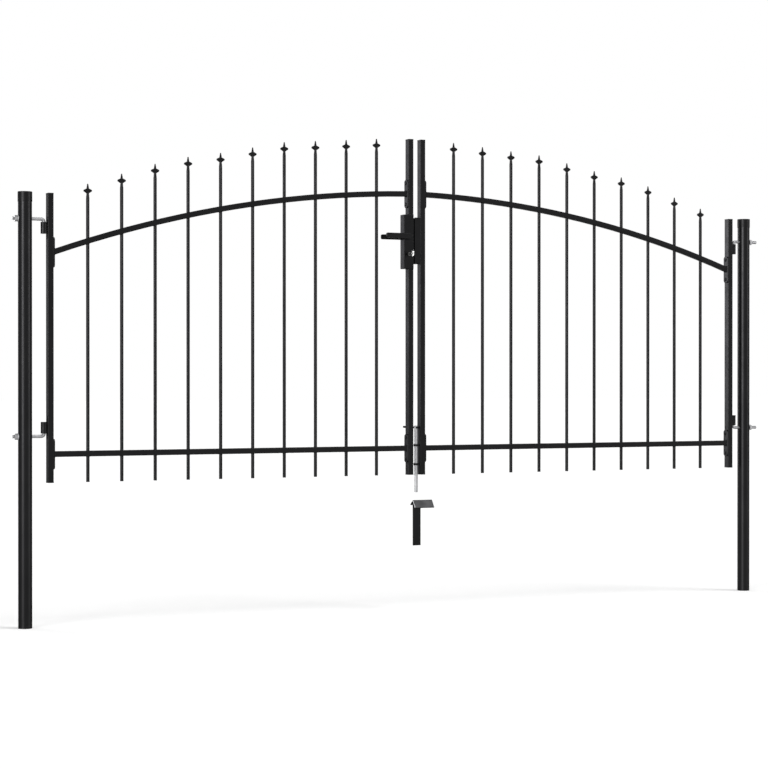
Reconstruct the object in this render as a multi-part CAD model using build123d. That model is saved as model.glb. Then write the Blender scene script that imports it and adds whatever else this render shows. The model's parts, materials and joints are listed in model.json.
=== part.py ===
from build123d import *
import os
from math import cos, hypot, radians, sin, sqrt

# Steel double driveway gate on two round posts. Millimetres.
# X runs along the gate, Y to the back and Z up; the origin is the middle of the left post's foot.

# Overall
overall_width = 3000
left_hinge_gap = 77
right_hinge_gap = 62
meeting_gap = 29
fit_gap = 0.2

# Posts
post_diameter = 48
post_wall = 2
post_height = 1500
post_over_stile = 2
post_cap_height = 34
post_cap_wall = 0.8
post_cap_top = 3
post_cap_round = 1.5

# Leaf frame: stiles, rails and the plates that bolt the rails to the stiles
stile_width = 20
stile_depth = 30
stile_wall = 1.5
hinge_stile_height = 1000
stile_over_rail = 204
tube_corner = 2.2
stile_cap_top = 3
stile_cap_lip = 0.5
stile_cap_plug = 14
stile_cap_round = 1
rail_size = 20
rail_wall = 1.5
bottom_rail_height = 99
top_rail_rise = 252
top_rail_radius = 4320
plate_height = 105
plate_depth = 28
plate_thickness = 5
plate_corner = 10
plate_edge = 1

# Pickets and their spear tips
pickets_per_leaf = 10
picket_diameter = 12
picket_wall = 1
picket_margin = 125
picket_steep_step = 40
picket_upper_step = 30
picket_middle_step = 25
picket_short_step = 20
picket_level_step = 10
tip_rise = 199
spear_height = 50
spear_width = 29.5
spear_thickness = 9
spear_lobe_round = 4
spear_edge = 2
spear_point_radius = 1.8
spear_point_round = 1.2
spear_spike_radius = 4.6
spear_waist_radius = 4.7
spigot_length = 12

# Hinges
pin_diameter = 12
pin_length = 36
bolt_length = 111
bolt_bend_radius = 9.5
barrel_diameter = 22
barrel_length = 40
barrel_web = 10
barrel_gap = 0.3
upper_barrel_drop = 100.5
lower_barrel_height = 170.5
bolt_hole_diameter = 13
nut_sides = 6
nut_across_flats = 19
nut_height = 10
nut_flange_diameter = 24
nut_flange_height = 2.5

# Lock
case_width = 40
case_depth = 34
case_height = 202
case_drop = 78
case_round = 2
spindle_rise = 121
spindle_size = 8
spindle_bore = 12
cylinder_rise = 55
cylinder_diameter = 13
cylinder_reach = 6
key_shank_length = 22
key_shank_height = 7
key_thickness = 2.6
key_bow_height = 21
key_bow_length = 17
key_bow_round = 7
key_bow_hole = 6
lever_length = 95
lever_hub_radius = 11
lever_tip_height = 18
lever_tip_round = 5
lever_thickness = 8
lever_edge = 2
lever_neck_radius = 8
lever_neck_length = 4
lever_socket_depth = 8
keep_reach = 24
keep_rise = 19.5
keep_height = 172.5
keep_wall = 2.5

# Drop bolt, its two guides and the stop that is set in the ground
rod_diameter = 14
rod_offset = 11.5
rod_foot = 66
rod_edge = 1.5
handle_height = 176
handle_diameter = 8
handle_reach = 111
handle_front = 10
handle_round = 3
rod_head = 7
guide_gap = 0.5
guide_thickness = 2
guide_height = 8
guide_ear = 14
upper_guide_height = 110
lower_guide_height = 39
stop_ridge_drop = 92
stop_ridge_forward = 36.5
stop_ridge_round = 2
stop_lead = 30
stop_length = 78
stop_front_leg = 35
stop_back_leg = 30
stop_thickness = 3.5
stop_tilt = 37
stake_width = 30
stake_depth = 6
stake_length = 169.5

# Worked out from the sizes above
leaf_foot_height = post_height - post_over_stile - hinge_stile_height
top_rail_hinge_height = hinge_stile_height - stile_over_rail
top_rail_meeting_height = top_rail_hinge_height + top_rail_rise
meeting_stile_height = top_rail_meeting_height + stile_over_rail
upper_barrel_height = hinge_stile_height - upper_barrel_drop - barrel_length
case_foot = top_rail_meeting_height - case_drop - case_height
post_spacing = overall_width - post_diameter
leaf_width = (post_spacing - left_hinge_gap - right_hinge_gap - meeting_gap) / 2
inner_width = leaf_width - 2 * stile_width
picket_pitch = (inner_width - 2 * picket_margin) / (pickets_per_leaf - 1)
left_leaf_meeting_x = left_hinge_gap + leaf_width
right_leaf_meeting_x = left_leaf_meeting_x + meeting_gap
right_leaf_hinge_x = right_leaf_meeting_x + leaf_width
left_pivot_x = left_hinge_gap - barrel_diameter / 2
right_pivot_x = right_leaf_hinge_x + barrel_diameter / 2
arc_chord = hypot(inner_width, top_rail_rise)
arc_drop = sqrt(top_rail_radius**2 - (arc_chord / 2) ** 2)
arc_centre_x = stile_width + inner_width / 2 + arc_drop * top_rail_rise / arc_chord
arc_centre_z = top_rail_hinge_height + top_rail_rise / 2 - arc_drop * inner_width / arc_chord


def upright(diameter, foot, top, x=0, y=0):
    """A round bar standing along Z from foot to top."""
    bar = Cylinder(diameter / 2, top - foot, align=(Align.CENTER, Align.CENTER, Align.MIN))
    return Pos(x, y, foot) * bar


def block(x_range, y_range, z_range):
    """A box given by its lowest and highest X, Y and Z."""
    spans = [high - low for low, high in (x_range, y_range, z_range)]
    lows = [low for low, high in (x_range, y_range, z_range)]
    return Pos(*lows) * Box(*spans, align=(Align.MIN, Align.MIN, Align.MIN))


def along_y(sketch, x, z, y_low, y_high):
    """A sketch drawn in X and Z, extruded from y_low to y_high."""
    face_plane = Plane(origin=(x, y_high, z), x_dir=(1, 0, 0), z_dir=(0, -1, 0))
    return extrude(face_plane * sketch, y_high - y_low)


def tube_section(width, depth, wall):
    """The hollow, round-cornered section of a square or oblong tube."""
    bore = RectangleRounded(width - 2 * wall, depth - 2 * wall, tube_corner - wall)
    return RectangleRounded(width, depth, tube_corner) - bore


def save(name, *solids):
    """Write one node; a node of several solids is a compound of them."""
    shapes = [solid for shape in solids for solid in shape.solids()]
    node = shapes[0] if len(shapes) == 1 else Compound(children=shapes)
    node.label = name
    export_step(node, f"parts/{name}.step")


def on_left(shape):
    """Carry a leaf piece, drawn from its hinge edge at X 0, to the left leaf."""
    return Pos(left_hinge_gap, 0, leaf_foot_height) * shape


def on_right(shape):
    """Carry a leaf piece to the right leaf, which is the left one mirrored."""
    return Pos(right_leaf_hinge_x, 0, leaf_foot_height) * mirror(shape, about=Plane.YZ)


# Posts


def post(x, bolt_heights):
    """A round tube with a hole right through for each hinge bolt."""
    top = post_height - post_cap_top
    tube = upright(post_diameter, 0, top) - upright(post_diameter - 2 * post_wall, 0, top)
    for height in bolt_heights:
        tube -= Pos(0, 0, height) * Rot(0, 90, 0) * Cylinder(bolt_hole_diameter / 2, 2 * post_diameter)
    return Pos(x, 0, 0) * tube


def post_cap(x):
    """A push-on sleeve cap with a rounded rim."""
    bore = post_diameter + 2 * fit_gap
    cap = upright(bore + 2 * post_cap_wall, post_height - post_cap_height, post_height)
    cap = fillet(cap.edges().group_by(Axis.Z)[-1], post_cap_round)
    cap -= upright(bore, post_height - post_cap_height, post_height - post_cap_top)
    return Pos(x, 0, 0) * cap


# Hinges


def bolt_axis_height(barrel_foot, pin_points_down):
    """Height of the hinge bolt's straight leg above the leaf's foot."""
    seat = bolt_bend_radius + barrel_gap
    return barrel_foot + barrel_length + seat if pin_points_down else barrel_foot - seat


def hinge_bolt(barrel_foot, pin_points_down):
    """A bent bolt: a leg along X whose end turns into the leaf's barrel. The pin's axis is X 0."""
    height = leaf_foot_height + bolt_axis_height(barrel_foot, pin_points_down)
    pin_end = -1 if pin_points_down else 1
    pin_tip = height + pin_end * (bolt_bend_radius + pin_length)
    corners = ((-bolt_length, 0, height), (0, 0, height), (0, 0, pin_tip))
    path = FilletPolyline(*corners, radius=bolt_bend_radius)
    section = Plane(origin=path @ 0, z_dir=path % 0) * Circle(pin_diameter / 2)
    return sweep(section, path=path)


def hinge_nut(barrel_foot, pin_points_down):
    """A flanged hexagon nut against the outer side of a post whose axis is X 0."""
    height = leaf_foot_height + bolt_axis_height(barrel_foot, pin_points_down)
    face = Plane(origin=(-post_diameter / 2, 0, height), z_dir=(-1, 0, 0))
    hexagon = RegularPolygon(nut_across_flats / 2, nut_sides, major_radius=False)
    nut = extrude(face * Circle(nut_flange_diameter / 2), nut_flange_height)
    nut += extrude(face.offset(nut_flange_height) * hexagon, nut_height)
    nut -= extrude(face * Circle(pin_diameter / 2 + fit_gap), nut_flange_height + nut_height)
    return nut


def hinge_barrel(foot):
    """A barrel welded to the hinge stile's edge, bored for the pin."""
    centre = -barrel_diameter / 2
    web = block((centre, 0), (-barrel_web / 2, barrel_web / 2), (foot, foot + barrel_length))
    barrel = upright(barrel_diameter, foot, foot + barrel_length, centre) + web
    return barrel - upright(pin_diameter + 2 * barrel_gap, foot, foot + barrel_length, centre)


hinges = ((upper_barrel_height, True), (lower_barrel_height, False))
hinge_names = ("upper", "lower")
bolt_heights = [leaf_foot_height + bolt_axis_height(*hinge) for hinge in hinges]


# Leaves, drawn with the hinge edge at X 0, the foot at Z 0 and the meeting edge at X leaf_width


def stile(x, foot, top):
    """A length of oblong tube."""
    section = tube_section(stile_width, stile_depth, stile_wall)
    return Pos(x + stile_width / 2, 0, foot) * extrude(section, top - foot)


def stile_cap(x, end, facing):
    """A plug cap: a rounded lid and a tongue inside the tube; facing is 1 at its top, -1 at its foot."""
    lip, inset = stile_cap_lip, stile_wall + fit_gap
    lid = RectangleRounded(stile_width + 2 * lip, stile_depth + 2 * lip, tube_corner + lip)
    lid = extrude(lid, stile_cap_top)
    lid = fillet(lid.edges().group_by(Axis.Z)[-1], stile_cap_round)
    tongue = RectangleRounded(stile_width - 2 * inset, stile_depth - 2 * inset, tube_corner - stile_wall)
    cap = lid + extrude(tongue, -stile_cap_plug)
    if facing < 0:
        cap = mirror(cap, about=Plane.XY)
    return Pos(x + stile_width / 2, 0, end - facing * stile_cap_top) * cap


def rail_height(x):
    """Height of the arched rail's axis at X."""
    return arc_centre_z + sqrt(top_rail_radius**2 - (x - arc_centre_x) ** 2)


picket_xs = [stile_width + picket_margin + i * picket_pitch for i in range(pickets_per_leaf)]

# The tips don't follow the arch: from the hinge on, each picket is cut a whole step longer
steep_steps = (picket_steep_step, picket_steep_step, picket_upper_step)
middle_steps = (picket_short_step, picket_middle_step, picket_middle_step)
rising_steps = steep_steps + middle_steps
picket_steps = rising_steps + (picket_level_step,) * (pickets_per_leaf - 1 - len(rising_steps))
first_tip_height = rail_height(picket_xs[0]) + tip_rise
tip_heights = [first_tip_height + sum(picket_steps[:i]) for i in range(pickets_per_leaf)]
rail_ends = (stile_width + plate_thickness, leaf_width - stile_width - plate_thickness)


def pierce(rail, low, high):
    """Bore a rail for the pickets that pass through it."""
    for x in picket_xs:
        rail -= upright(picket_diameter + 2 * fit_gap, low, high, x)
    return rail


def rail_section(x, height):
    """A rail's section, standing across X at that place."""
    across = Plane(origin=(x, 0, height), x_dir=(0, 1, 0), z_dir=(1, 0, 0))
    return across * tube_section(rail_size, rail_size, rail_wall)


def top_rail():
    """The arched square tube, bored upright for each picket."""
    axis = Axis((arc_centre_x, 0, arc_centre_z), (0, 1, 0))
    ring = revolve(rail_section(arc_centre_x, arc_centre_z + top_rail_radius), axis)
    tube = ring & block(rail_ends, (-rail_size, rail_size), (bottom_rail_height, meeting_stile_height))
    return pierce(tube, bottom_rail_height, meeting_stile_height)


def bottom_rail():
    """The straight square tube, bored for each picket."""
    tube = extrude(rail_section(rail_ends[0], bottom_rail_height), rail_ends[1] - rail_ends[0])
    return pierce(tube, bottom_rail_height - rail_size, bottom_rail_height + rail_size)


def picket(x, tip_height):
    """A round tube from the leaf's foot to the base of its spear tip."""
    top = tip_height - spear_height
    return upright(picket_diameter, 0, top, x) - upright(picket_diameter - 2 * picket_wall, 0, top, x)


# Outline of a spear tip: shares of its half width and of its height, from the base up
lobe_width_shares = (0.33, 0.78, 1, 1, 0.78, 0.33)
lobe_height_shares = (0.34, 0.43, 0.47, 0.56, 0.6, 0.66)
waist_height_share = 0.28
spike_height_share = 0.66


def spear_tip():
    """A cast spear: a turned spike and waist with two flat side lobes, on a spigot."""
    turned = Polyline(
        (0, 0),
        (picket_diameter / 2, 0),
        (spear_waist_radius, spear_height * waist_height_share),
        (spear_spike_radius, spear_height * spike_height_share),
        (spear_point_radius, spear_height),
        (0, spear_height),
        close=True,
    )
    profile = make_face(turned)
    shoulder = profile.vertices().sort_by(Axis.Y)[-2:].sort_by(Axis.X)[-1]
    core = revolve(Plane.XZ * fillet(shoulder, spear_point_round), Axis.Z)
    shares = list(zip(lobe_width_shares, lobe_height_shares))
    right = [(spear_width / 2 * w, spear_height * h) for w, h in shares]
    left = [(-x, z) for x, z in reversed(right)]
    lobes = make_face(Polyline(*right, *left, close=True))
    ends = lobes.vertices().group_by(Axis.X)
    lobes = fillet(ends[0] + ends[-1], spear_lobe_round / 2)
    lobes = along_y(lobes, 0, 0, -spear_thickness / 2, spear_thickness / 2)
    faces = lobes.faces().sort_by(Axis.Y)
    lobes = chamfer(faces[0].edges() + faces[-1].edges(), spear_edge)
    spigot = upright(picket_diameter - 2 * picket_wall - 2 * fit_gap, -spigot_length, 0)
    return core + lobes + spigot


def rail_plate(x, height, facing):
    """The round-cornered plate on a stile's face at X; facing is 1 or -1, the way to its rail."""
    face = Plane(origin=(x, 0, height), x_dir=(0, 1, 0), z_dir=(facing, 0, 0))
    outline = RectangleRounded(plate_depth, plate_height, plate_corner)
    plate = extrude(face * outline, plate_thickness)
    free_face = plate.faces().sort_by(Axis((0, 0, 0), (facing, 0, 0)))[-1]
    return chamfer(free_face.edges(), plate_edge)


def leaf(side, carry, meeting_lengths):
    """Write the nodes that both leaves have."""
    far = leaf_width - stile_width
    save(f"{side}_hinge_stile", carry(stile(0, stile_cap_top, hinge_stile_height - stile_cap_top)))
    save(f"{side}_meeting_stile", *[carry(stile(far, *length)) for length in meeting_lengths])
    caps = [stile_cap(0, hinge_stile_height, 1), stile_cap(far, meeting_stile_height, 1)]
    caps += [stile_cap(x, 0, -1) for x in (0, far)]
    save(f"{side}_stile_caps", *[carry(cap) for cap in caps])
    save(f"{side}_top_rail", carry(top_rail()))
    save(f"{side}_bottom_rail", carry(bottom_rail()))
    places = list(zip(picket_xs, tip_heights))
    save(f"{side}_pickets", *[carry(picket(x, top)) for x, top in places])
    tip = spear_tip()
    save(f"{side}_spear_tips", *[carry(Pos(x, 0, top - spear_height) * tip) for x, top in places])
    plates = [
        rail_plate(stile_width, bottom_rail_height, 1),
        rail_plate(far, bottom_rail_height, -1),
        rail_plate(stile_width, top_rail_hinge_height, 1),
        rail_plate(far, top_rail_meeting_height, -1),
    ]
    save(f"{side}_rail_plates", *[carry(plate) for plate in plates])
    save(f"{side}_hinge_barrels", *[carry(hinge_barrel(foot)) for foot, _ in hinges])


# Lock, on the left leaf


case_x = (left_leaf_meeting_x - case_width, left_leaf_meeting_x)
case_z = (leaf_foot_height + case_foot, leaf_foot_height + case_foot + case_height)
spindle_x = left_leaf_meeting_x - case_width / 2
spindle_z = case_z[0] + spindle_rise
cylinder_z = case_z[0] + cylinder_rise
case_face = case_depth / 2


def lock_case():
    """The lock's box between the two lengths of the meeting stile, bored for spindle and cylinder."""
    case = block(case_x, (-case_face, case_face), case_z)
    case = fillet(case.edges(), case_round)
    case -= along_y(Circle(spindle_bore / 2), spindle_x, spindle_z, -case_face, case_face)
    bore = cylinder_diameter / 2 + fit_gap
    return case - along_y(Circle(bore), spindle_x, cylinder_z, -case_face, case_face)


def lever(facing):
    """A tapered lever with one level edge: the upper one in front (facing -1), and turned over behind."""
    hub, tip_low = lever_hub_radius, lever_hub_radius - lever_tip_height
    outline = make_face(
        [
            Line((0, hub), (-lever_length, hub)),
            Line((-lever_length, hub), (-lever_length, tip_low)),
            Line((-lever_length, tip_low), (0, -hub)),
            ThreePointArc((0, -hub), (hub, 0), (0, hub)),
        ]
    )
    outline = fillet(outline.vertices().group_by(Axis.X)[0], lever_tip_round)
    neck_low = case_face + barrel_gap
    bar_low = neck_low + lever_neck_length
    bar = along_y(outline, 0, 0, bar_low, bar_low + lever_thickness)
    bar = fillet(bar.faces().sort_by(Axis.Y)[-1].edges(), lever_edge)
    bar += along_y(Circle(lever_neck_radius), 0, 0, neck_low, bar_low)
    socket = spindle_size + 2 * fit_gap
    bar -= along_y(Rectangle(socket, socket), 0, 0, neck_low, neck_low + lever_socket_depth)
    bar = mirror(bar, about=Plane.XY if facing > 0 else Plane.XZ)
    return Pos(spindle_x, 0, spindle_z) * bar


def lever_spindle():
    """The square bar that joins the two levers through the case."""
    reach = case_face + barrel_gap + lever_socket_depth - fit_gap
    return along_y(Rectangle(spindle_size, spindle_size), spindle_x, spindle_z, -reach, reach)


def lock_cylinder():
    """The round cylinder that shows on both sides of the case."""
    reach = case_face + cylinder_reach
    return along_y(Circle(cylinder_diameter / 2), spindle_x, cylinder_z, -reach, reach)


def key():
    """A key standing in the front of the cylinder: a flat shank and an upright bow with a hole."""
    start = -case_face - cylinder_reach
    bow_start = start - key_shank_length
    flat = Plane(origin=(spindle_x - key_thickness / 2, 0, cylinder_z), z_dir=(1, 0, 0), x_dir=(0, 1, 0))
    bow = RectangleRounded(key_bow_length, key_bow_height, key_bow_round) - Circle(key_bow_hole / 2)
    shank = Rectangle(key_shank_length + key_bow_round / 2, key_shank_height)
    bow_middle = bow_start - key_bow_length / 2
    shank_middle = start - (key_shank_length + key_bow_round / 2) / 2
    outline = Pos(bow_middle, 0) * bow + Pos(shank_middle, 0) * shank
    return extrude(flat * outline, key_thickness)


def lock_keep():
    """The channel on the right meeting stile that the lock shuts into, open towards the lock."""
    x_range = (right_leaf_meeting_x - keep_reach, right_leaf_meeting_x)
    half = stile_depth / 2
    low = case_z[0] + keep_rise
    z_range = (low, low + keep_height)
    inside = (x_range[0], x_range[1] - keep_wall)
    channel = block(inside, (keep_wall - half, half - keep_wall), z_range)
    return block(x_range, (-half, half), z_range) - channel


# Drop bolt on the right leaf


rod_x = right_leaf_meeting_x - rod_offset
handle_z = leaf_foot_height + handle_height


def drop_bolt_rod():
    """The round rod, cross bored near its head for the handle."""
    rod = upright(rod_diameter, leaf_foot_height - rod_foot, handle_z + rod_head, rod_x)
    rod = chamfer(rod.edges().filter_by(GeomType.CIRCLE), rod_edge)
    return rod - along_y(Circle(handle_diameter / 2 + fit_gap), rod_x, handle_z, -rod_diameter, rod_diameter)


def drop_bolt_handle():
    """The bar through the rod's head that points to the back of the gate."""
    bar = along_y(Circle(handle_diameter / 2), rod_x, handle_z, -handle_front, handle_reach)
    return fillet(bar.edges().filter_by(GeomType.CIRCLE), handle_round)


def guide(height):
    """A strap bent round the rod, with two ears on the meeting stile's edge."""
    bore = rod_diameter / 2 + guide_gap
    outer = bore + guide_thickness
    leg = Align.MIN, Align.CENTER
    strap = Circle(outer) + Rectangle(rod_offset, 2 * outer, align=leg)
    ears = Rectangle(guide_thickness, 2 * guide_ear, align=(Align.MAX, Align.CENTER))
    strap += Pos(rod_offset, 0) * ears
    strap -= Circle(bore) + Rectangle(rod_offset, 2 * bore, align=leg)
    middle = leaf_foot_height + height - guide_height / 2
    return Pos(rod_x, 0, middle) * extrude(strap, guide_height)


# Ground stop: an angle laid as a roof on a flat stake


stop_left = rod_x - stop_lead
stop_ridge_height = leaf_foot_height - stop_ridge_drop
stake_foot_height = stop_ridge_height - stake_length


def roof_plane(x):
    """A plane across the roof at X, with its X axis down the back leg and Y down the front leg."""
    lean = radians(stop_tilt)
    ridge = (x, -stop_ridge_forward, stop_ridge_height)
    return Plane(origin=ridge, x_dir=(0, cos(lean), -sin(lean)), z_dir=(-1, 0, 0))


def ground_stop_roof():
    """The angle, with its outer corner up."""
    corner = (Align.MIN, Align.MIN)
    section = Rectangle(stop_back_leg, stop_front_leg, align=corner)
    section -= Pos(stop_thickness, stop_thickness) * Rectangle(stop_back_leg, stop_front_leg, align=corner)
    section = fillet(section.vertices().sort_by_distance((0, 0, 0))[0], stop_ridge_round)
    return extrude(roof_plane(stop_left + stop_length) * section, stop_length)


def ground_stop_stake():
    """The flat bar under the roof's left end, its top cut to fit inside the angle."""
    half = stake_depth / 2
    y_range = (-stop_ridge_forward - half, half - stop_ridge_forward)
    bar = block((stop_left, stop_left + stake_width), y_range, (stake_foot_height, stop_ridge_height))
    under = stake_length + stake_width
    below = Pos(stop_thickness, stop_thickness) * Rectangle(under, under, align=(Align.MIN, Align.MIN))
    return bar & extrude(roof_plane(stop_left + stake_width) * below, stake_width)


os.makedirs("parts", exist_ok=True)

save("left_post", post(0, bolt_heights))
save("right_post", post(post_spacing, bolt_heights))
save("left_post_cap", post_cap(0))
save("right_post_cap", post_cap(post_spacing))
for name, hinge in zip(hinge_names, hinges):
    bolt = hinge_bolt(*hinge)
    save(f"left_{name}_hinge_bolt", Pos(left_pivot_x, 0, 0) * bolt)
    save(f"right_{name}_hinge_bolt", Pos(right_pivot_x, 0, 0) * mirror(bolt, about=Plane.YZ))
nuts = [hinge_nut(*hinge) for hinge in hinges]
save("left_hinge_nuts", *nuts)
save("right_hinge_nuts", *[Pos(post_spacing, 0, 0) * mirror(nut, about=Plane.YZ) for nut in nuts])
save("ground_stop_stake", ground_stop_stake())
save("ground_stop_roof", ground_stop_roof())

meeting_tube_top = meeting_stile_height - stile_cap_top
leaf("left", on_left, ((stile_cap_top, case_foot), (case_foot + case_height, meeting_tube_top)))
leaf("right", on_right, ((stile_cap_top, meeting_tube_top),))

save("lock_case", lock_case())
save("lock_cylinder", lock_cylinder())
save("key", key())
save("front_lever", lever(-1))
save("back_lever", lever(1))
save("lever_spindle", lever_spindle())
save("lock_keep", lock_keep())

save("upper_bolt_guide", guide(upper_guide_height))
save("lower_bolt_guide", guide(lower_guide_height))
save("drop_bolt_rod", drop_bolt_rod())
save("drop_bolt_handle", drop_bolt_handle())
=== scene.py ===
import json
import math

import bmesh
import bpy
from mathutils import Euler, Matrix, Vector
from mathutils.bvhtree import BVHTree


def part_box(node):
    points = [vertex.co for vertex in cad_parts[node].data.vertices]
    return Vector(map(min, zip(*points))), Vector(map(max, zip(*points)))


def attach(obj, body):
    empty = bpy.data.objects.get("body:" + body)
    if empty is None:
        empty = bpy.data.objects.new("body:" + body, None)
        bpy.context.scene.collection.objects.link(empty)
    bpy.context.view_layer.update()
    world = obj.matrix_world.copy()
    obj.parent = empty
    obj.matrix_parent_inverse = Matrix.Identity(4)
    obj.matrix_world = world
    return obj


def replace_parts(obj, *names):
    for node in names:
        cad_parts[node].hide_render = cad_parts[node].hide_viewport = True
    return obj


# A steel double driveway gate on two round posts. Metres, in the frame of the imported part:
# X along the gate, Y to the back, Z up, with the origin at the middle of the left post's foot.

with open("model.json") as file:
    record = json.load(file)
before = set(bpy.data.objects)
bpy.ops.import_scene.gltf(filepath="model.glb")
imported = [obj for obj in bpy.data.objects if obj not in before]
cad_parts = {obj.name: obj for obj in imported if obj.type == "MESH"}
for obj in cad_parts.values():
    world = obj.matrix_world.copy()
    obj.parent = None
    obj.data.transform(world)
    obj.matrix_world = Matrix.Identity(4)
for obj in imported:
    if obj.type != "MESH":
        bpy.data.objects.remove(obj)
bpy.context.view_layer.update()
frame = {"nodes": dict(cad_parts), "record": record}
scene = bpy.context.scene

# Camera, solved from the photograph's perspective
IMAGE_SIZE = 768
FOCAL_PIXELS = 2008.07
CAMERA_PLACE = (-1.73757, -6.78694, 0.86822)
CAMERA_YAW = 24.495
CAMERA_PITCH = -0.24
SENSOR_WIDTH = 36

# Stage
FLOOR_SIZE = 120
FLOOR_COLOUR = (0.82, 0.82, 0.82, 1)
FLOOR_GLOW = 0.22
WORLD_LIGHT = 0.50
WHITE = (1, 1, 1, 1)

# Finishes: the stretch of a noise that its values fill, and the edge tint of the black ones, which are
# metallic because there the tint darkens the reflection along the edges of thin bars
NOISE_LOW = 0.3
NOISE_HIGH = 0.7
BLACK_EDGE = (0.45, 0.45, 0.45, 1)

# Meshes: distances within which points are one, and angles in degrees over which an edge stays sharp
TOUCHING = 1e-6
SAME_PLACE = 1e-5
SHARP_EDGE = 40
SHARP_NUT = 25
SHARP_WELD = 80

# Fasteners
THREAD_PITCH = 0.00175
THREAD_DEPTH = 0.0009
THREAD_LENGTH = 0.060
THREAD_STEPS = 6
THREAD_FLANK = 1.5
BOLT_BEND = 0.0095
BEND_STEPS = 10
BOLT_CHAMFER = 0.0015
NUT_FLATS = 0.019
NUT_FLANGE_EDGE = 0.0012
NUT_FLANGE_HEIGHT = 0.0025
NUT_CHAMFER = 0.0016
PLATE_BOLT_SPREAD = 0.039
BUTTON_RADIUS = 0.0058
BUTTON_HEIGHT = 0.0016
BUTTON_TURN = 75
BUTTON_STEPS = 5
WASHER_RADIUS = 0.0075
WASHER_HEIGHT = 0.0008
WASHER_SIDE_SHARE = 0.8
WASHER_TOP_SHARE = 0.97

# Welds, and the painted highlight on the ground stop
WELD_RADIUS = 0.0021
WELD_RIPPLE = 0.0042
RIPPLE_STEPS = 4
RIPPLE_SHARE = 0.1
LOOP_STEP = 0.0011
CORNER_STEPS = 4
PICKET_WELD_RADIUS = 0.0011
PICKET_WELD_STEPS = 20
RAY_START = 0.1
HINGE_WELD_RADIUS = 0.0020
HINGE_WELD_SPREAD = 0.0062
HINGE_WELD_REACH = 0.0012
TAIL_LENGTH = 0.020
TAIL_RADIUS = 0.0034
TAIL_TIP_RADIUS = 0.0012
TAIL_STEPS = 24
TAIL_RIPPLE_SHARE = 0.025
CASE_WELD_RADIUS = 0.0015
STOP_TILT = 37
STOP_LEG = 0.033
STOP_THICKNESS = 0.0035
# Half the width of the painted highlight strip on the ground stop's front leg
GLINT_HALF_WIDTH = 0.0003
# Half the size of the black slab that paints the shade of the keyway slot
KEYWAY_SHADE = Vector((0.0007, 0.0003, 0.0035))


# Reading the frame


def solids_of(node):
    """The lowest and highest corner of each separate solid in a node, from left to right."""
    mesh = bmesh.new()
    mesh.from_mesh(frame["nodes"][node].data)
    bmesh.ops.remove_doubles(mesh, verts=mesh.verts, dist=TOUCHING)
    left, boxes = set(mesh.verts), []
    while left:
        group, edge_of_group = set(), [left.pop()]
        while edge_of_group:
            vertex = edge_of_group.pop()
            group.add(vertex)
            near = [e.other_vert(vertex) for e in vertex.link_edges]
            fresh = [v for v in near if v in left]
            left.difference_update(fresh)
            edge_of_group.extend(fresh)
        low = Vector([min(v.co[i] for v in group) for i in range(3)])
        high = Vector([max(v.co[i] for v in group) for i in range(3)])
        boxes.append((low, high))
    mesh.free()
    return sorted(boxes, key=lambda box: (round(box[0].x, 4), box[0].z))


def middle(box):
    """The centre of a box given by its two corners."""
    return (box[0] + box[1]) / 2


def end_section(node, solid, side):
    """The box of the end of a straight or arched tube, at its lowest or highest X."""
    x = solid[0].x if side < 0 else solid[1].x
    points = [v.co for v in frame["nodes"][node].data.vertices if abs(v.co.x - x) < SAME_PLACE]
    low = Vector([min(p[i] for p in points) for i in range(3)])
    high = Vector([max(p[i] for p in points) for i in range(3)])
    return low, high


# Materials


def add(tree, kind, **inputs):
    """A new shader node with some of its inputs set."""
    made = tree.nodes.new(kind)
    for name, value in inputs.items():
        made.inputs[name.replace("_", " ")].default_value = value
    return made


def noise(tree, scale, detail=2, stretch=(1, 1, 1)):
    """A noise in the object's own coordinates, stretched along its axes."""
    place = add(tree, "ShaderNodeTexCoord")
    mapping = add(tree, "ShaderNodeMapping", Scale=stretch)
    texture = add(tree, "ShaderNodeTexNoise", Scale=scale, Detail=detail)
    tree.links.new(place.outputs["Object"], mapping.inputs["Vector"])
    tree.links.new(mapping.outputs["Vector"], texture.inputs["Vector"])
    return texture.outputs["Fac"]


def spread(tree, value, low, high):
    """A 0 to 1 value carried to the range from low to high."""
    ranged = add(tree, "ShaderNodeMapRange", From_Min=NOISE_LOW, From_Max=NOISE_HIGH, To_Min=low, To_Max=high)
    tree.links.new(value, ranged.inputs["Value"])
    return ranged.outputs["Result"]


def mixed_colour(tree, value, dark, light):
    """A colour between two, by a 0 to 1 value."""
    ramp = add(tree, "ShaderNodeValToRGB")
    ramp.color_ramp.elements[0].position = NOISE_LOW
    ramp.color_ramp.elements[1].position = NOISE_HIGH
    ramp.color_ramp.elements[0].color = (*dark, 1)
    ramp.color_ramp.elements[1].color = (*light, 1)
    tree.links.new(value, ramp.inputs["Fac"])
    return ramp.outputs["Color"]


def bump(tree, bsdf, height, distance, strength=1.0):
    """Give a shader the relief of a height, distance deep."""
    relief = add(tree, "ShaderNodeBump", Strength=strength, Distance=distance)
    tree.links.new(height, relief.inputs["Height"])
    tree.links.new(relief.outputs["Normal"], bsdf.inputs["Normal"])


def shader(name, **sockets):
    """A material with a Principled shader and some of its sockets set."""
    material = bpy.data.materials.new(name)
    material.use_nodes = True
    bsdf = material.node_tree.nodes["Principled BSDF"]
    for socket, value in sockets.items():
        bsdf.inputs[socket.replace("_", " ")].default_value = value
    return material, material.node_tree, bsdf


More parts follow.
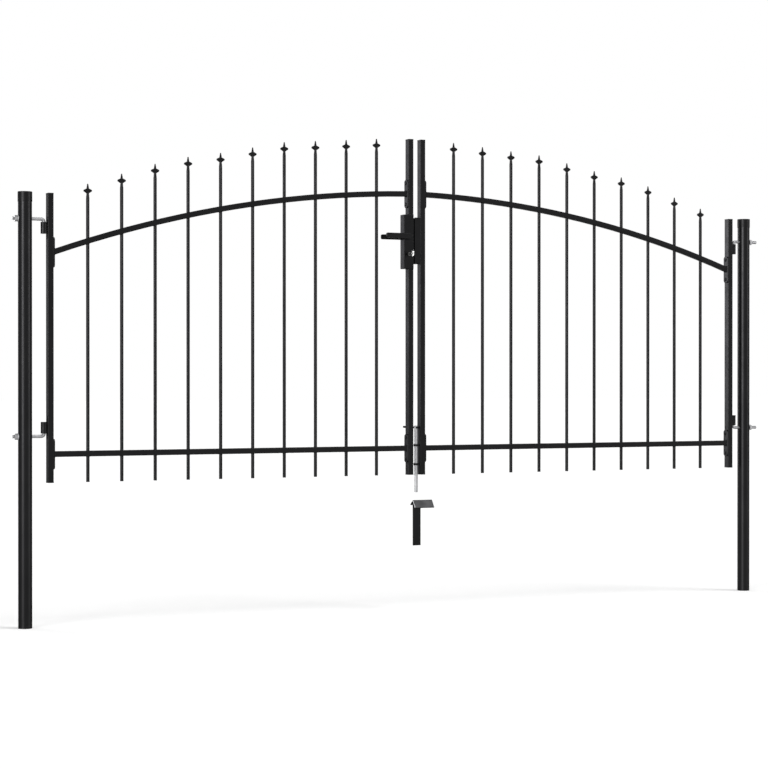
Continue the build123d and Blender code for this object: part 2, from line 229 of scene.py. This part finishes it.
def black_coat():
    """Satin black powder coat, with the fine orange peel that it flows out to."""
    material, tree, bsdf = shader("black_coat", Metallic=1, Specular_Tint=BLACK_EDGE)
    cloud = noise(tree, 9, 3)
    tree.links.new(mixed_colour(tree, cloud, (0.0135, 0.0135, 0.0140), (0.0162, 0.0162, 0.0168)),
                   bsdf.inputs["Base Color"])
    tree.links.new(spread(tree, noise(tree, 40, 3), 0.28, 0.36), bsdf.inputs["Roughness"])
    bump(tree, bsdf, noise(tree, 700, 2), 0.000012)
    return material


def zinc():
    """Zinc plated steel, faintly mottled, drawn along the bar."""
    material, tree, bsdf = shader("zinc", Metallic=1)
    tree.links.new(mixed_colour(tree, noise(tree, 160, 4), (0.27, 0.27, 0.275), (0.35, 0.35, 0.36)),
                   bsdf.inputs["Base Color"])
    tree.links.new(spread(tree, noise(tree, 300, 3), 0.46, 0.58), bsdf.inputs["Roughness"])
    bump(tree, bsdf, noise(tree, 900, 3), 0.00003, 0.4)
    return material


def black_plastic():
    """Moulded black plastic with a fine spark-eroded grain."""
    material, tree, bsdf = shader("black_plastic", Metallic=1, Specular_Tint=BLACK_EDGE)
    tree.links.new(mixed_colour(tree, noise(tree, 25, 2), (0.0130, 0.0130, 0.0133), (0.0156, 0.0156, 0.0160)),
                   bsdf.inputs["Base Color"])
    tree.links.new(spread(tree, noise(tree, 120, 2), 0.34, 0.42), bsdf.inputs["Roughness"])
    bump(tree, bsdf, noise(tree, 1800, 2), 0.00005, 0.6)
    return material


def nickel():
    """Bright nickel plate with hairline scratches."""
    material, tree, bsdf = shader("nickel", Metallic=1)
    tree.links.new(mixed_colour(tree, noise(tree, 220, 3), (0.105, 0.105, 0.103), (0.140, 0.140, 0.137)),
                   bsdf.inputs["Base Color"])
    tree.links.new(spread(tree, noise(tree, 500, 4, (1, 1, 0.1)), 0.24, 0.36), bsdf.inputs["Roughness"])
    bump(tree, bsdf, noise(tree, 1500, 3, (1, 1, 0.08)), 0.00002, 0.3)
    return material


materials = {"black_coat": black_coat(), "zinc": zinc(), "black_plastic": black_plastic(), "nickel": nickel()}
for part in frame["record"]["subparts"]:
    surfaces = frame["nodes"][part["node"]].data.materials
    surfaces.clear()
    surfaces.append(materials[part["material_slot"]])

# The arched rails come in as strips; their shading runs on from one strip to the next
for side in ("left", "right"):
    rail = frame["nodes"][f"{side}_top_rail"]
    join = rail.modifiers.new("join", "WELD")
    join.merge_threshold = SAME_PLACE
    even = rail.modifiers.new("even", "WEIGHTED_NORMAL")
    even.weight = 100
    even.keep_sharp = False


# Pieces that the CAD leaves out


def skin(rings, closed=False):
    """Vertices and faces of a surface through rings of points; an open one is capped at its ends."""
    count = len(rings[0])
    points = [point for ring in rings for point in ring]
    faces = []
    for i in range(len(rings) if closed else len(rings) - 1):
        here, there = i * count, (i + 1) % len(rings) * count
        for j in range(count):
            k = (j + 1) % count
            faces.append((here + j, here + k, there + k, there + j))
    if not closed:
        last = (len(rings) - 1) * count
        faces += [tuple(range(count)), tuple(range(last, last + count))]
    return points, faces


def piece(name, body, slot, shapes, sharp=SHARP_EDGE):
    """One object out of several skins, which rides on a body and takes a slot's finish."""
    mesh = bpy.data.meshes.new(name)
    built = bmesh.new()
    for points, faces in shapes:
        made = [built.verts.new(point) for point in points]
        for face in faces:
            built.faces.new([made[i] for i in face])
    bmesh.ops.recalc_face_normals(built, faces=built.faces)
    for face in built.faces:
        face.smooth = True
    built.to_mesh(mesh)
    built.free()
    mesh.set_sharp_from_angle(angle=math.radians(sharp))
    mesh.materials.append(materials[slot])
    made = bpy.data.objects.new(name, mesh)
    scene.collection.objects.link(made)
    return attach(made, body)


def circle(centre, across, up, radius, count):
    """A ring of points about a centre; radius is a length or a function of the turn from 0 to 1."""
    ring = []
    for i in range(count):
        turn = i / count
        size = radius(turn) if callable(radius) else radius
        angle = math.tau * turn
        ring.append(centre + across * (size * math.cos(angle)) + up * (size * math.sin(angle)))
    return ring


def lathe(origin, axis, profile, count=24):
    """A turned shape from (distance along the axis, radius) pairs."""
    across = axis.orthogonal().normalized()
    up = axis.cross(across)
    return skin([circle(origin + axis * along, across, up, radius, count) for along, radius in profile])


def plate(low, high):
    """A plain block between two corners."""
    section = ((low.y, low.z), (high.y, low.z), (high.y, high.z), (low.y, high.z))
    return skin([[Vector((x, y, z)) for y, z in section] for x in (low.x, high.x)])


def bead(points, radius, closed=False, count=8, ripple=RIPPLE_SHARE):
    """A weld bead along points, rippled; radius is a length or one for each point."""
    sizes = radius if isinstance(radius, list) else [radius] * len(points)
    rings, run = [], 0
    for i, point in enumerate(points):
        before = points[i - 1] if closed or i else points[i]
        after = points[(i + 1) % len(points)] if closed or i < len(points) - 1 else points[i]
        along = (after - before).normalized()
        lies_across = abs(along.y) > 0.9
        across = (along.orthogonal() if lies_across else along.cross(Vector((0, 1, 0)))).normalized()
        up = along.cross(across)
        run += (point - points[i - 1]).length if i else 0
        size = sizes[i] * (1 + ripple * math.cos(math.tau * run / WELD_RIPPLE))
        rings.append(circle(point, across, up, size, count))
    return skin(rings, closed)


def loop(low, high, corner, plane):
    """Points round a round-cornered rectangle; plane names the two axes that it lies across."""
    a, b = plane
    points = []
    turns = ((high[a] - corner, high[b] - corner, 0), (low[a] + corner, high[b] - corner, 90),
             (low[a] + corner, low[b] + corner, 180), (high[a] - corner, low[b] + corner, 270))
    for u, v, first in turns:
        for j in range(CORNER_STEPS + 1):
            angle = math.radians(first + 90 * j / CORNER_STEPS)
            point = (low + high) / 2
            point[a] = u + corner * math.cos(angle)
            point[b] = v + corner * math.sin(angle)
            points.append(point)
    filled = []
    for i, point in enumerate(points):
        after = points[(i + 1) % len(points)]
        parts = max(1, round((after - point).length / LOOP_STEP))
        filled += [point.lerp(after, k / parts) for k in range(parts)]
    return filled


def thread_radius(radius, along, turn):
    """The radius of a threaded end at a distance along it and a turn about it."""
    wave = abs(2 * ((along / THREAD_PITCH + turn) % 1) - 1)
    cut = THREAD_DEPTH * min(1, max(0, THREAD_FLANK * (wave - 0.5) + 0.5))
    return min(radius - cut, radius - BOLT_CHAMFER + along)


def hinge_bolt(node, outer, pin, count=24):
    """A bent bolt with a rolled thread; outer and pin are the ways its end points in X and its pin in Z."""
    low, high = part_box(node)
    radius = (high.y - low.y) / 2
    end_x, pivot_x = (low.x, high.x - radius) if outer < 0 else (high.x, low.x + radius)
    leg_z, tip_z = (low.z + radius, high.z) if pin > 0 else (high.z - radius, low.z)
    inward, sideways, upward = Vector((-outer, 0, 0)), Vector((0, 1, 0)), Vector((0, 0, pin))
    end, straight = Vector((end_x, 0, leg_z)), abs(pivot_x - end_x) - BOLT_BEND
    rings = []
    for i in range(round(THREAD_LENGTH / THREAD_PITCH * THREAD_STEPS)):
        along = i * THREAD_PITCH / THREAD_STEPS
        rings.append(circle(end + inward * along, sideways, upward,
                            lambda turn, along=along: thread_radius(radius, along, turn), count))
    for along in (THREAD_LENGTH + THREAD_PITCH, straight):
        rings.append(circle(end + inward * along, sideways, upward, radius, count))
    bend_middle = end + inward * straight + upward * BOLT_BEND
    for i in range(1, BEND_STEPS + 1):
        angle = math.radians(90 * i / BEND_STEPS)
        outward = inward * math.sin(angle) - upward * math.cos(angle)
        rings.append(circle(bend_middle + outward * BOLT_BEND, sideways, -outward, radius, count))
    foot = Vector((pivot_x, 0, tip_z))
    for back, size in ((BOLT_CHAMFER, radius), (0, radius - BOLT_CHAMFER)):
        rings.append(circle(foot - upward * back, sideways, -inward, size, count))
    return skin(rings)


def hinge_nut(low, high, outer, hole, count=48):
    """A flanged hexagon nut with chamfered corners; outer is the way it faces in X."""
    place, height = middle((low, high)), high.x - low.x
    place.x = high.x if outer < 0 else low.x
    axis, sideways, upward = Vector((outer, 0, 0)), Vector((0, 1, 0)), Vector((0, 0, 1))
    flange = (high.y - low.y) / 2

    def hexagon(turn, limit):
        half_side = 1 / 12
        face = (turn + half_side) % (2 * half_side) - half_side
        return min(limit, NUT_FLATS / 2 / math.cos(math.tau * face))

    corner = NUT_FLATS / 2 / math.cos(math.radians(30))
    outline = ((0, flange), (NUT_FLANGE_EDGE, flange), (NUT_FLANGE_HEIGHT, corner))
    rings = [circle(place + axis * along, sideways, upward, radius, count) for along, radius in outline]
    sides = ((NUT_FLANGE_HEIGHT, corner), (height - NUT_CHAMFER / 2, corner), (height, NUT_FLATS / 2))
    for along, limit in sides:
        rings.append(circle(place + axis * along, sideways, upward,
                            lambda turn, limit=limit: hexagon(turn, limit), count))
    for along in (height, 0):
        rings.append(circle(place + axis * along, sideways, upward, hole, count))
    return skin(rings, closed=True)


def plate_bolt(place, axis):
    """A round-headed bolt on a washer."""
    profile = [(0, WASHER_RADIUS), (WASHER_HEIGHT * WASHER_SIDE_SHARE, WASHER_RADIUS),
               (WASHER_HEIGHT, WASHER_RADIUS * WASHER_TOP_SHARE), (WASHER_HEIGHT, BUTTON_RADIUS)]
    for i in range(1, BUTTON_STEPS + 1):
        angle = math.radians(BUTTON_TURN * i / BUTTON_STEPS)
        profile.append((WASHER_HEIGHT + BUTTON_HEIGHT * math.sin(angle), BUTTON_RADIUS * math.cos(angle)))
    return lathe(place, axis, profile)


def rail_welds(side, rail):
    """The beads round the two ends of a rail, where it meets its plates."""
    node = f"{side}_{rail}_rail"
    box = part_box(node)
    beads = []
    for way in (-1, 1):
        low, high = end_section(node, box, way)
        beads.append(bead(loop(low, high, WELD_RADIUS, (1, 2)), WELD_RADIUS, closed=True))
    return beads


def picket_welds(side, rail):
    """A ring of weld at the underside of a rail round each of its pickets."""
    mesh = frame["nodes"][f"{side}_{rail}_rail"].data
    tree = BVHTree.FromPolygons([v.co for v in mesh.vertices], [p.vertices for p in mesh.polygons])
    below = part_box(f"{side}_{rail}_rail")[0].z - RAY_START
    beads = []
    for shaft in solids_of(f"{side}_pickets"):
        centre, radius = middle(shaft), (shaft[1].y - shaft[0].y) / 2
        reach = radius + 2 * PICKET_WELD_RADIUS
        starts = [Vector((centre.x + way * reach, 0, below)) for way in (-1, 1)]
        first, last = (tree.ray_cast(start, Vector((0, 0, 1)))[0].z for start in starts)
        slope = (last - first) / (2 * reach)
        points = []
        for i in range(PICKET_WELD_STEPS):
            angle = math.tau * i / PICKET_WELD_STEPS
            across, back = radius * math.cos(angle), radius * math.sin(angle)
            points.append(Vector((centre.x + across, back, (first + last) / 2 + slope * across)))
        beads.append(bead(points, PICKET_WELD_RADIUS, closed=True, count=6))
    return beads


def barrel_welds(side, outer):
    """The beads that join the hinge barrels to the stile, with their tails above and below."""
    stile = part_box(f"{side}_hinge_stile")
    face = stile[0].x if outer < 0 else stile[1].x
    beads = []
    for low, high in solids_of(f"{side}_hinge_barrels"):
        length = high.z - low.z
        steps = round(length / WELD_RIPPLE * RIPPLE_STEPS)
        x = face + outer * HINGE_WELD_REACH
        for y in (-HINGE_WELD_SPREAD, HINGE_WELD_SPREAD):
            points = [Vector((x, y, low.z + length * i / steps)) for i in range(steps + 1)]
            beads.append(bead(points, HINGE_WELD_RADIUS))
        for end, way in ((high.z, 1), (low.z, -1)):
            shares = [i / TAIL_STEPS for i in range(TAIL_STEPS + 1)]
            points = [Vector((face, 0, end + way * TAIL_LENGTH * share)) for share in shares]
            taper = [math.cos(math.pi / 2 * share) for share in shares]
            sizes = [TAIL_TIP_RADIUS + (TAIL_RADIUS - TAIL_TIP_RADIUS) * share for share in taper]
            beads.append(bead(points, sizes, count=16, ripple=TAIL_RIPPLE_SHARE))
    return beads


def case_welds():
    """The beads where the meeting stile enters the lock case from above and from below."""
    low, high = (corner.copy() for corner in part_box("left_meeting_stile"))
    beads = []
    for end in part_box("lock_case"):
        low.z = high.z = end.z
        beads.append(bead(loop(low, high, 2 * CASE_WELD_RADIUS, (0, 1)), CASE_WELD_RADIUS, closed=True))
    return beads


def stop_glint_strip():
    """A thin strip of bright zinc on the end of the ground stop's front leg: a painted highlight that stands
    in for the glint on the coat's edge there.
    """
    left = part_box("ground_stop_roof")[0].x
    corners = frame["nodes"]["ground_stop_roof"].data.vertices
    ends = [v.co for v in corners if abs(v.co.x - left) < SAME_PLACE]
    tip = min(ends, key=lambda point: point.y)
    lean = math.radians(STOP_TILT)
    up = Vector((0, math.sin(lean), math.cos(lean))) * STOP_LEG
    inward = Vector((0, math.cos(lean), -math.sin(lean))) * STOP_THICKNESS
    section = (tip, tip + up, tip + up + inward, tip + inward)
    return skin([[point + Vector((side, 0, 0)) for point in section] for side in (-GLINT_HALF_WIDTH, GLINT_HALF_WIDTH)])


for side, outer in (("left", -1), ("right", 1)):
    leaf = f"{side}_leaf"
    for end, pin in (("upper", -1), ("lower", 1)):
        node = f"{side}_{end}_hinge_bolt"
        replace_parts(piece(f"{node}_threaded", "posts", "zinc", [hinge_bolt(node, outer, pin)]), node)
    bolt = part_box(f"{side}_upper_hinge_bolt")
    bore = (bolt[1].y - bolt[0].y) / 2
    nuts = [hinge_nut(*box, outer, bore) for box in solids_of(f"{side}_hinge_nuts")]
    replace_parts(piece(f"{side}_flanged_nuts", "posts", "zinc", nuts, SHARP_NUT), f"{side}_hinge_nuts")
    leaf_x = middle(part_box(f"{side}_bottom_rail")).x
    heads = []
    for box in solids_of(f"{side}_rail_plates"):
        place = middle(box)
        way = 1 if place.x < leaf_x else -1
        place.x = box[1].x if way > 0 else box[0].x
        for rise in (-PLATE_BOLT_SPREAD, PLATE_BOLT_SPREAD):
            heads.append(plate_bolt(place + Vector((0, 0, rise)), Vector((way, 0, 0))))
    piece(f"{side}_plate_bolts", leaf, "black_coat", heads)
    welds = rail_welds(side, "top") + rail_welds(side, "bottom")
    piece(f"{side}_rail_welds", leaf, "black_coat", welds, SHARP_WELD)
    welds = picket_welds(side, "top") + picket_welds(side, "bottom")
    piece(f"{side}_picket_welds", leaf, "black_coat", welds, SHARP_WELD)
    piece(f"{side}_barrel_welds", leaf, "black_coat", barrel_welds(side, outer), SHARP_WELD)

piece("lock_case_welds", "left_leaf", "black_coat", case_welds(), SHARP_WELD)
# A strip of bright zinc at the end of the stop's front leg, a painted highlight rather than bare metal
piece("stop_painted_glint", "posts", "zinc", [stop_glint_strip()])
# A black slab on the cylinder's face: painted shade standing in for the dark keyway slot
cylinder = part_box("lock_cylinder")
keyhole = middle(cylinder)
keyhole.y = cylinder[1].y
piece("keyway_painted_shade", "lock_barrel", "black_plastic", [plate(keyhole - KEYWAY_SHADE, keyhole + KEYWAY_SHADE)])


# Stage, light and camera


def white_or(tree, output, lit, white):
    """Show one shader to camera, glossy and transmission rays and the other to the rest."""
    path = add(tree, "ShaderNodeLightPath")
    seen = path.outputs["Is Camera Ray"]
    for name in ("Is Glossy Ray", "Is Transmission Ray"):
        either = add(tree, "ShaderNodeMath")
        either.operation = "MAXIMUM"
        tree.links.new(seen, either.inputs[0])
        tree.links.new(path.outputs[name], either.inputs[1])
        seen = either.outputs["Value"]
    mix = add(tree, "ShaderNodeMixShader")
    tree.links.new(seen, mix.inputs["Fac"])
    tree.links.new(lit.outputs[0], mix.inputs[1])
    tree.links.new(white.outputs[0], mix.inputs[2])
    tree.links.new(mix.outputs["Shader"], output.inputs["Surface"])


def build_world():
    """A white surround that lights the object gently."""
    world = bpy.data.worlds.new("studio")
    scene.world = world
    world.use_nodes = True
    tree = world.node_tree
    tree.nodes.clear()
    output = add(tree, "ShaderNodeOutputWorld")
    lit = add(tree, "ShaderNodeBackground", Color=WHITE, Strength=WORLD_LIGHT)
    white = add(tree, "ShaderNodeBackground", Color=WHITE, Strength=1.0)
    white_or(tree, output, lit, white)


def build_floor():
    """A pale floor at the posts' feet that takes the shadow and meets the white surround."""
    bpy.ops.mesh.primitive_plane_add(size=FLOOR_SIZE)
    floor = bpy.context.object
    floor.name = "floor"
    material = bpy.data.materials.new("floor")
    material.use_nodes = True
    tree = material.node_tree
    tree.nodes.clear()
    output = add(tree, "ShaderNodeOutputMaterial")
    plain = add(tree, "ShaderNodeBsdfDiffuse", Color=FLOOR_COLOUR)
    glow = add(tree, "ShaderNodeEmission", Color=WHITE, Strength=FLOOR_GLOW)
    seen = add(tree, "ShaderNodeAddShader")
    tree.links.new(plain.outputs[0], seen.inputs[0])
    tree.links.new(glow.outputs[0], seen.inputs[1])
    white_or(tree, output, plain, seen)
    floor.data.materials.append(material)


def far_softbox(name, azimuth, elevation, width, strength):
    """A wide lamp far away; azimuth runs from the front to the right, and width is the angle it fills."""
    turn, rise = math.radians(azimuth), math.radians(elevation)
    toward = Vector((math.sin(turn) * math.cos(rise), -math.cos(turn) * math.cos(rise), math.sin(rise)))
    light = bpy.data.lights.new(name, "SUN")
    light.energy, light.angle = strength, math.radians(width)
    lamp = bpy.data.objects.new(name, light)
    lamp.rotation_euler = (-toward).to_track_quat("-Z", "Y").to_euler()
    scene.collection.objects.link(lamp)


def build_camera():
    """The camera of the photograph."""
    camera = bpy.data.cameras.new("camera")
    camera.sensor_width = SENSOR_WIDTH
    camera.lens = FOCAL_PIXELS / IMAGE_SIZE * SENSOR_WIDTH
    camera.clip_end = FLOOR_SIZE
    holder = bpy.data.objects.new("camera", camera)
    holder.location = CAMERA_PLACE
    holder.rotation_euler = Euler((math.radians(90 + CAMERA_PITCH), 0, math.radians(-CAMERA_YAW)))
    scene.collection.objects.link(holder)
    scene.camera = holder


scene.view_settings.view_transform = "Standard"
build_world()
build_floor()
far_softbox("left_softbox", azimuth=-52, elevation=6, width=25, strength=2.4)
far_softbox("right_softbox", azimuth=59, elevation=8, width=25, strength=0.9)
far_softbox("top_softbox", azimuth=54, elevation=58, width=22, strength=1.2)
far_softbox("back_softbox", azimuth=-149, elevation=7, width=20, strength=1.6)
build_camera()
